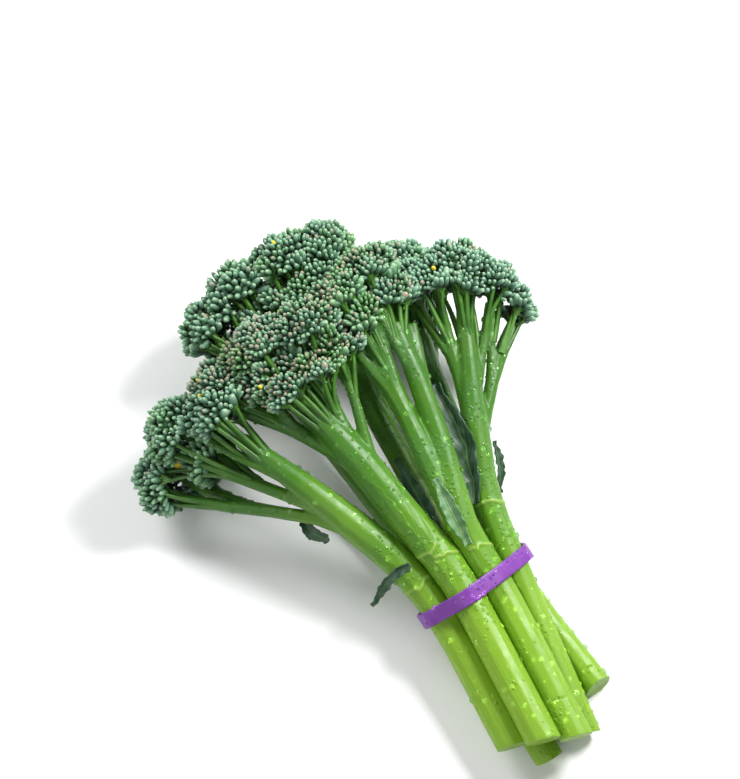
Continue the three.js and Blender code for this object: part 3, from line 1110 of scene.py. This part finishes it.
@dataclass
class Drops:
    """Water drops that sit on a piece's upper side."""

    look: bpy.types.Material
    seed: int
    spacing: float = 2.4 * MM
    small: float = 0.3 * MM
    large: float = 1.3 * MM
    most: int = 1800

    def shape(self) -> bpy.types.Mesh:
        """A low round drop, its base at the origin."""
        work = bmesh.new()
        bmesh.ops.create_uvsphere(work, u_segments=10, v_segments=6, radius=1.0)
        bmesh.ops.scale(work, vec=(1.0, 1.0, 0.62), verts=work.verts)
        bmesh.ops.translate(work, vec=(0.0, 0.0, 0.18), verts=work.verts)
        mesh = bpy.data.meshes.new("drop_shape")
        work.to_mesh(mesh)
        work.free()
        return mesh

    def build(self, name: str, hosts: list[bpy.types.Object], shelter: list[BVHTree]) -> bpy.types.Object:
        """Sprinkles the drops.

        Args:
            name: The drop piece's name.
            hosts: The pieces they sit on.
            shelter: Trees of what may lie over them.

        Returns:
            The drops as one piece.
        """
        rng = np.random.default_rng(self.seed)
        places: list[Matrix] = []
        for host in hosts:
            scatter = Scatter(host.data, int(rng.integers(1 << 30)))
            scatter.throw(5000)
            for spot, side in scatter.thin(self.spacing):
                if side.z < 0.15 or rng.random() > 0.58:
                    continue
                if any(t.ray_cast(spot + side * 0.8 * MM, Vector((0.2, -0.3, 0.93)), 0.1)[0] for t in shelter):
                    continue
                size = self.small * (self.large / self.small) ** (rng.random() ** 2.0)
                turn = side.to_track_quat("Z", "Y").to_matrix().to_4x4()
                scale = Matrix.Diagonal((size, size * rng.uniform(0.85, 1.2), size, 1.0))
                places.append(Matrix.Translation(spot) @ turn @ scale)
        drops = Copies(self.shape(), "drop")
        for index in rng.permutation(len(places))[: self.most]:
            drops.add(places[index])
        LOG.info("drops: %d of %d places taken", min(self.most, len(places)), len(places))
        return finish(drops.build(name), Slot.WATER, self.look)


# ---------------------------------------------------------------- studio


@dataclass
class Studio:
    """Pale paper, soft light and the camera."""

    target: Vector = field(default_factory=lambda: Vector((0.0124, 0.0430, 0.030)))
    azimuth: float = -28.0
    elevation: float = 66.0
    distance: float = 0.832
    lens: float = 100.0

    def build(self) -> None:
        """Sets the whole studio up."""
        self.floor()
        self.camera()
        self.light("key", Vector((0.45, 0.02, 0.5)), 0.22, 6.6)
        self.light("fill", Vector((-0.5, -0.35, 0.55)), 0.8, 2.0)
        self.light("back", Vector((-0.25, 0.55, 0.5)), 0.4, 4.2)
        world = bpy.data.worlds.new("studio_air")
        world.use_nodes = True
        world.node_tree.nodes["Background"].inputs[0].default_value = shade(0.95, 0.97, 1.0)
        world.node_tree.nodes["Background"].inputs[1].default_value = 0.22
        bpy.context.scene.world = world
        bpy.context.scene.view_settings.view_transform = "Standard"

    def floor(self) -> None:
        """The surface that the bunch lies on."""
        work = bmesh.new()
        bmesh.ops.create_grid(work, x_segments=8, y_segments=8, size=3.0)
        mesh = bpy.data.meshes.new("paper")
        work.to_mesh(mesh)
        work.free()
        paper = link("paper", mesh)
        paper.data.materials.append(PaperFinish().make())

    def camera(self) -> None:
        """The camera, which looks down along the stems."""
        turn, tilt = math.radians(self.azimuth), math.radians(self.elevation)
        away = Vector((math.sin(turn) * math.cos(tilt), -math.cos(turn) * math.cos(tilt), math.sin(tilt)))
        eye = bpy.data.objects.new("eye", bpy.data.cameras.new("eye"))
        eye.data.lens = self.lens
        eye.data.clip_start = 0.01
        eye.location = self.target + away * self.distance
        eye.rotation_euler = away.to_track_quat("Z", "Y").to_euler()
        bpy.context.scene.collection.objects.link(eye)
        bpy.context.scene.camera = eye

    def light(self, name: str, offset: Vector, size: float, power: float) -> None:
        """A soft square lamp that looks at the bunch.

        Args:
            name: Its name.
            offset: Its place from the target.
            size: Its side.
            power: Its power in watts.
        """
        lamp = bpy.data.lights.new(name, "AREA")
        lamp.size = size
        lamp.energy = power
        holder = bpy.data.objects.new(name, lamp)
        holder.location = self.target + offset
        holder.rotation_euler = offset.to_track_quat("Z", "Y").to_euler()
        bpy.context.scene.collection.objects.link(holder)


def main() -> None:
    """Builds every piece of the bunch, then the studio."""
    logging.basicConfig(level=logging.INFO)
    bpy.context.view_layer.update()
    names = sorted(n.removeprefix("stalk_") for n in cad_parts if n.startswith("stalk_"))
    skin, pith = StalkFinish().make(), CutFinish().make()
    stems = [Stalk(f"stalk_{name}", skin, pith, SCARS[f"stalk_{name}"]).build() for name in names]
    LOG.info("stalks: %d", len(stems))
    stalk_trees = [search_tree(merged(f"stalk_{name}")) for name in names]
    head_trees = {name: search_tree(merged(f"head_{name}")) for name in names}
    bud, bud_look, twig_look = BudShape().build(), BudFinish().make(), TwigFinish().make()
    tops = []
    for seed, name in enumerate(names, start=11):
        others = [tree for other, tree in head_trees.items() if other != name]
        tops += Head(name, seed, STYLES[name], bud, bud_look, twig_look, others, stalk_trees).build()
    dark_look, pale_look = LeafFinish().make(), LeafFinish(**PALE_BRACT).make()
    leaves = [
        Leaf(node, seed, pale_look if node == "leaf_clasping" else dark_look).build()
        for seed, node in enumerate(sorted(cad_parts))
        if node.startswith("leaf_")
    ]
    LOG.info("leaves: %d", len(leaves))
    band = Band(BandFinish().make()).build()
    shelter = [*head_trees.values(), *stalk_trees, search_tree(band.data)]
    Drops(WaterFinish().make(), 5).build("water_drops", [*stems, band, band], shelter)
    Studio().build()


if __name__ == "__main__":
    main()
